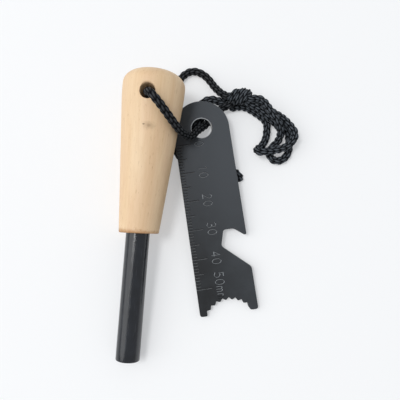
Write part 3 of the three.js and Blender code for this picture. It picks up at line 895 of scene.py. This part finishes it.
def smooth_route(route):
    """Centripetal spline through the route's points, cut to even steps."""
    points = [Vector(point) for point in route]
    points = [2 * points[0] - points[1]] + points + [2 * points[-1] - points[-2]]
    fine = []
    for index in range(1, len(points) - 2):
        p0, p1, p2, p3 = points[index - 1:index + 3]
        d0 = max((p1 - p0).length ** 0.5, 1e-4)
        d1 = max((p2 - p1).length ** 0.5, 1e-4)
        d2 = max((p3 - p2).length ** 0.5, 1e-4)
        m1 = ((p1 - p0) / d0 - (p2 - p0) / (d0 + d1) + (p2 - p1) / d1) * d1
        m2 = ((p2 - p1) / d1 - (p3 - p1) / (d1 + d2) + (p3 - p2) / d2) * d1
        for step in range(40):
            t = step / 40
            fine.append(
                p1 * (2 * t ** 3 - 3 * t ** 2 + 1) + m1 * (t ** 3 - 2 * t ** 2 + t)
                + p2 * (3 * t ** 2 - 2 * t ** 3) + m2 * (t ** 3 - t ** 2)
            )
    fine.append(points[-2])
    total = sum((two - one).length for one, two in zip(fine, fine[1:]))
    count = max(int(total / BRAID_STEP), 8)
    even = [fine[0]]
    walked = 0.0
    for one, two in zip(fine, fine[1:]):
        length = (two - one).length
        while len(even) < count and walked + length >= total * len(even) / count:
            share = (total * len(even) / count - walked) / length
            even.append(one.lerp(two, share))
        walked += length
    even.append(fine[-1])
    return even, total


def knit_height(angle, along):
    """Height of a knitted cord's chained stitches, with where the point lies across and along its yarn."""
    column = KNIT_COLUMNS * angle
    from_middle = abs(column - math.floor(column) - 0.5)
    place = along + STITCH_LEAN * from_middle + STITCH_STAGGER * math.floor(column)
    share = place - math.floor(place)
    across = 2 * from_middle - 0.5
    body = math.sin(math.pi * share ** 0.75)
    return math.cos(math.pi * across) ** 0.5 * (0.3 + 0.7 * body), across, place


def make_cord(name, line, radius=1.46, width=1.0, height=1.0, depth=0.62, lies_flat=False, frayed=0.0):
    """A braided cord along a line of even points, closed and rounded at both ends."""
    count = len(line)
    tangents = []
    for index in range(count):
        ahead = line[min(index + 1, count - 1)] - line[max(index - 1, 0)]
        tangents.append(ahead.normalized())
    side = tangents[0].cross(Vector((0, 0, 1)))
    side = side.normalized() if side.length > 0.01 else Vector((1, 0, 0))
    bm = bmesh.new()
    layers = [bm.verts.layers.float.new(key) for key in ("braid_height", "yarn_across", "yarn_along")]
    rings = []
    for index, (centre, tangent) in enumerate(zip(line, tangents)):
        if lies_flat:
            side = tangent.cross(Vector((0, 0, 1))).normalized()
        else:
            level = tangent.cross(Vector((0, 0, 1)))
            side = (side - tangent * side.dot(tangent)).normalized()
            if level.length > 0.3:
                pull = level.normalized() * (1 if level.dot(side) > 0 else -1)
                side = side.lerp(pull, 0.05).normalized()
        up = side.cross(tangent)
        from_end = min(index, count - 1 - index) * BRAID_STEP
        from_tip = (count - 1 - index) * BRAID_STEP
        close = math.sqrt(max(0.0, 1 - (1 - min(from_end / END_ROUND, 1)) ** 2)) * 0.92 + 0.08
        ring = []
        for step in range(BRAID_SIDES):
            share = step / BRAID_SIDES
            rise, across, along = knit_height(share, index * BRAID_STEP / STITCH_LENGTH)
            reach = (radius - depth + depth * max(rise, 0.0)) * close
            turn = 2 * math.pi * share
            swell = 1.0
            if from_tip < FRAY_LENGTH:
                swell += frayed * math.sin(2.2 * from_tip + 0.6) * math.sin(turn + 1.1 * from_tip)
            offset = side * math.cos(turn) * reach * width * swell + up * math.sin(turn) * reach * height
            offset.z = max(offset.z, FLOOR_CONTACT - centre.z)
            vert = bm.verts.new(centre + offset)
            vert[layers[0]] = rise
            vert[layers[1]] = across
            vert[layers[2]] = along
            ring.append(vert)
        rings.append(ring)
    for ring, following in zip(rings, rings[1:]):
        for step in range(BRAID_SIDES):
            after = (step + 1) % BRAID_SIDES
            bm.faces.new((ring[step], ring[after], following[after], following[step]))
    bm.faces.new(rings[0][::-1])
    bm.faces.new(rings[-1])
    bmesh.ops.recalc_face_normals(bm, faces=bm.faces)
    obj = finished(bm, name)
    set_down(obj, Matrix.Translation(TIP), 80)
    return obj


def lay_cord(name, route, finish, nodes, far_end, with_pieces=(), **look):
    """One stretch of the cord along its route, in place of its CAD nodes."""
    line, length = smooth_route(route)
    cord = make_cord(name, line, **look)
    dressed(cord, "grip", "cord", finish)
    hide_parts(*nodes)


def make_knot(finish):
    """Slanted, uneven wraps round the strands that meet in the knot."""
    wraps = []
    for step in range(KNOT_POINTS + 1):
        share = step / KNOT_POINTS
        turn = 2 * math.pi * KNOT_TURNS * share - 2.4
        reach = 1.3 + 0.5 * math.sin(math.pi * share ** 1.1) ** 2 + 0.2 * math.sin(1.6 * turn + 0.8)
        side = reach * math.sin(turn)
        along = KNOT_LENGTH * (share - 0.5) + 0.3 + 0.5 * side
        wraps.append(KNOT_CENTRE + Vector((along, side, reach * math.cos(turn))))
    knot = make_cord("knot_wraps", smooth_route(wraps)[0], radius=1.48)
    dressed(knot, "grip", "cord", finish)
    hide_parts("cord_knot")
    return knot


def make_lanyard():
    # Painted light: the tether's braid is a darker copy of the loops' braid, standing in for less light on
    # the same black cord where it crosses the handle
    braid = make_braid("black_braid_painted_light", linear(85, 91, 98))
    tether_braid_painted_shade = make_braid("black_tether_braid_painted_shade", linear(58, 61, 65))
    knot = make_knot(braid)
    lay_cord(
        "braided_tether", TETHER_ROUTE, tether_braid_painted_shade, ("cord_arc", "cord_front"), "knot", [knot],
        radius=1.42, depth=0.42,
    )
    lay_cord(
        "braided_tail", TAIL_ROUTE, braid, ("cord_tail",), "bare",
        width=1.12, height=0.68, lies_flat=True, frayed=0.35,
    )
    lay_cord("wrist_loop_outer", OUTER_LOOP_ROUTE, braid, ("cord_loop_outer",), "knot")
    lay_cord("wrist_loop_inner", INNER_LOOP_ROUTE, braid, ("cord_loop_inner",), "knot")


# Floor, light and surroundings
def set_studio():
    made, nodes, shader = material("pale_table")
    nodes.feed(shader.inputs["Base Color"], linear(249, 250, 251))
    shader.inputs["Roughness"].default_value = 0.9
    glow = nodes.add("ShaderNodeEmission")
    nodes.feed(glow.inputs["Color"], linear(248, 249, 251))
    seen = nodes.maths("MULTIPLY", nodes.add("ShaderNodeLightPath").outputs["Is Camera Ray"], 0.35)
    blend = nodes.add("ShaderNodeMixShader")
    nodes.feed(blend.inputs[0], seen)
    nodes.links.new(shader.outputs["BSDF"], blend.inputs[1])
    nodes.links.new(glow.outputs["Emission"], blend.inputs[2])
    surface = next(node for node in nodes.tree.nodes if node.type == "OUTPUT_MATERIAL").inputs["Surface"]
    nodes.links.new(blend.outputs[0], surface)
    bm = bmesh.new()
    bmesh.ops.create_grid(bm, x_segments=1, y_segments=1, size=2)
    floor = finished(bm, "table")
    floor.data.materials.append(made)
    floor.location.z = -0.00002

    world = bpy.data.worlds.new("studio")
    world.use_nodes = True
    bpy.context.scene.world = world
    world.node_tree.nodes["Background"].inputs["Color"].default_value = (0.96, 0.98, 1.0, 1)
    world.node_tree.nodes["Background"].inputs["Strength"].default_value = 0.5

    for name, spot, size, power in (
        ("key_light", Vector((-0.62, 0.05, 1.70)), 0.5, 10.8),
        ("side_light", Vector((-1.30, -0.10, 1.15)), 1.9, 12.0),
    ):
        data = bpy.data.lights.new(name, "AREA")
        data.shape = "DISK"
        data.size = size
        data.energy = power
        lamp = bpy.data.objects.new(name, data)
        lamp.location = spot
        lamp.rotation_euler = (spot - Vector((0, 0, 0.01))).to_track_quat("Z", "Y").to_euler()
        bpy.context.scene.collection.objects.link(lamp)
    bpy.context.scene.view_settings.view_transform = "Standard"


set_camera()
make_lanyard()
make_rod()
make_handle()
make_striker()
glue = bpy.data.objects["rod_adhesive"]
glue.data.materials.clear()
glue.data.materials.append(make_glue())
set_studio()
